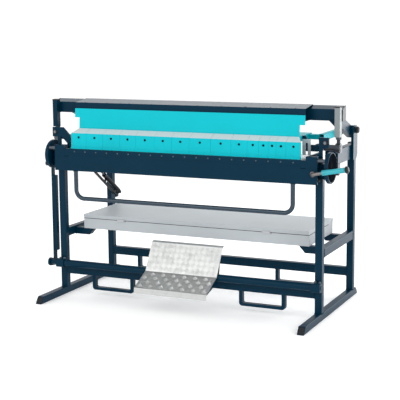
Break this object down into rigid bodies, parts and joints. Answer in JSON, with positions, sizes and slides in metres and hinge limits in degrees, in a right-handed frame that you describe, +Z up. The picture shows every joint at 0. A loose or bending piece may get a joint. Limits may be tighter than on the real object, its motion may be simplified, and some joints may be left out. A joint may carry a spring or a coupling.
{
  "type": "box and pan brake",
  "caption": "Sheet metal folding brake on a welded stand: segmented clamping fingers lifted by a foot pedal, a swinging folding apron with handles, and a lidded tray.",
  "frame": {"origin": "middle of the machine's bounding box, on the floor under the feet", "axes": "+X to the operator's right along the bending line, +Y from the operator to the back of the machine, +Z up"},
  "size_m": [1.8686, 0.952, 1.1488],
  "materials": {
    "dark_paint": "semi-gloss dark petrol blue powder coat",
    "turquoise_paint": "semi-gloss turquoise powder coat",
    "tray_paint": "satin light gray powder coat",
    "bare_steel": "ground bare steel",
    "tread_aluminium": "bright rolled five-bar tread plate",
    "black_plastic": "satin black plastic",
    "black_rubber": "matt black rubber",
    "zinc_steel": "zinc plated steel"
  },
  "bodies": {
    "base": {"left_foot": "dark_paint", "right_foot": "dark_paint", "left_front_post": "dark_paint", "right_front_post": "dark_paint", "left_rear_post": "dark_paint", "right_rear_post": "dark_paint", "mid_tubes": "dark_paint", "front_rail": "dark_paint", "rear_rail": "dark_paint", "fork_pockets": "dark_paint", "tray_arms": "dark_paint", "tray_box": "tray_paint", "tray_fittings": "zinc_steel", "side_beams": "dark_paint", "bed_table": "bare_steel", "bed_beam": "dark_paint", "bed_end_plates": "dark_paint", "post_spacers": "dark_paint", "pivot_cheeks": "dark_paint", "apron_pins": "zinc_steel", "stop_knob": "black_plastic", "apron_buffers": "black_rubber", "rocker_bearings": "dark_paint", "pivot_brackets": "dark_paint", "clamp_pivot_pins": "zinc_steel", "end_caps": "black_plastic", "pedal_bearings": "dark_paint", "bearing_bolts": "zinc_steel", "strut_bracket": "dark_paint"},
    "clamp_beam": {"top_beam": "dark_paint", "face_plate": "turquoise_paint", "finger_beam": "turquoise_paint", "fingers": "turquoise_paint", "finger_screws": "black_plastic", "clamp_arms": "dark_paint", "lower_arms": "turquoise_paint", "pivot_hubs": "dark_paint", "drop_bars": "dark_paint", "drop_bar_caps": "black_plastic", "adjusting_screws": "zinc_steel", "cross_pins": "zinc_steel", "end_links": "dark_paint"},
    "rocker": {"rocker_shaft": "dark_paint", "rocker_cranks": "dark_paint"},
    "pull_links": {"pull_links": "zinc_steel"},
    "push_rod": {"push_rod": "dark_paint"},
    "pedal": {"pedal_shaft": "dark_paint", "pedal_plate": "tread_aluminium", "pedal_crank": "dark_paint"},
    "strut_cylinder": {"strut_cylinder": "black_plastic"},
    "strut_rod": {"strut_rod": "bare_steel"},
    "apron": {"apron_plate": "dark_paint", "apron_blade": "dark_paint", "blade_screws": "zinc_steel", "hinge_blocks": "dark_paint", "hoop_handle": "dark_paint", "side_handle": "bare_steel", "handle_grip": "turquoise_paint", "handle_cap": "black_plastic"},
    "tray_lid": {"tray_lid": "tray_paint"}
  },
  "joints": [
    {"name": "clamp_lift", "type": "hinge", "parent": "base", "child": "clamp_beam", "pos_m": [-0.04828, 0.313, 0.982], "axis": [-1, 0, 0], "range_deg": [0, 3.85]},
    {"name": "rocker_turn", "type": "hinge", "parent": "base", "child": "rocker", "pos_m": [-0.04828, 0.06, 0.775], "axis": [-1, 0, 0], "range_deg": [0, 10.25]},
    {"name": "pull_link_swing", "type": "hinge", "parent": "rocker", "child": "pull_links", "pos_m": [-0.04828, -0.09437, 0.761], "axis": [1, 0, 0], "range_deg": [0, 11.26]},
    {"name": "push_rod_swing", "type": "hinge", "parent": "rocker", "child": "push_rod", "pos_m": [-0.92528, -0.14317, 0.7566], "axis": [1, 0, 0], "range_deg": [0, 10.25]},
    {"name": "pedal_press", "type": "hinge", "parent": "base", "child": "pedal", "pos_m": [-0.04828, -0.217, 0.19], "axis": [1, 0, 0], "range_deg": [0, 28.1]},
    {"name": "strut_swing", "type": "hinge", "parent": "base", "child": "strut_cylinder", "pos_m": [-0.77728, 0.394, 0.525], "axis": [1, 0, 0], "range_deg": [0, 1.74]},
    {"name": "strut_extend", "type": "slide", "parent": "strut_cylinder", "child": "strut_rod", "axis": [0, -0.8195, 0.5731], "range_m": [0, 0.00365]},
    {"name": "apron_fold", "type": "hinge", "parent": "base", "child": "apron", "pos_m": [-0.04828, -0.233, 0.872], "axis": [-1, 0, 0], "range_deg": [0, 135]},
    {"name": "tray_lid_open", "type": "hinge", "parent": "base", "child": "tray_lid", "pos_m": [-0.04828, 0.332, 0.449], "axis": [-1, 0, 0], "range_deg": [0, 35]}
  ],
  "couplings": [
    {"joint": "rocker_turn", "follows": "clamp_lift", "ratio": 2.658},
    {"joint": "pull_link_swing", "follows": "clamp_lift", "ratio": 2.9205},
    {"joint": "push_rod_swing", "follows": "clamp_lift", "ratio": 2.658},
    {"joint": "pedal_press", "follows": "clamp_lift", "ratio": 7.2946},
    {"joint": "strut_swing", "follows": "clamp_lift", "ratio": 0.44718},
    {"joint": "strut_extend", "follows": "clamp_lift", "m_per_rad": 0.052864}
  ]
}
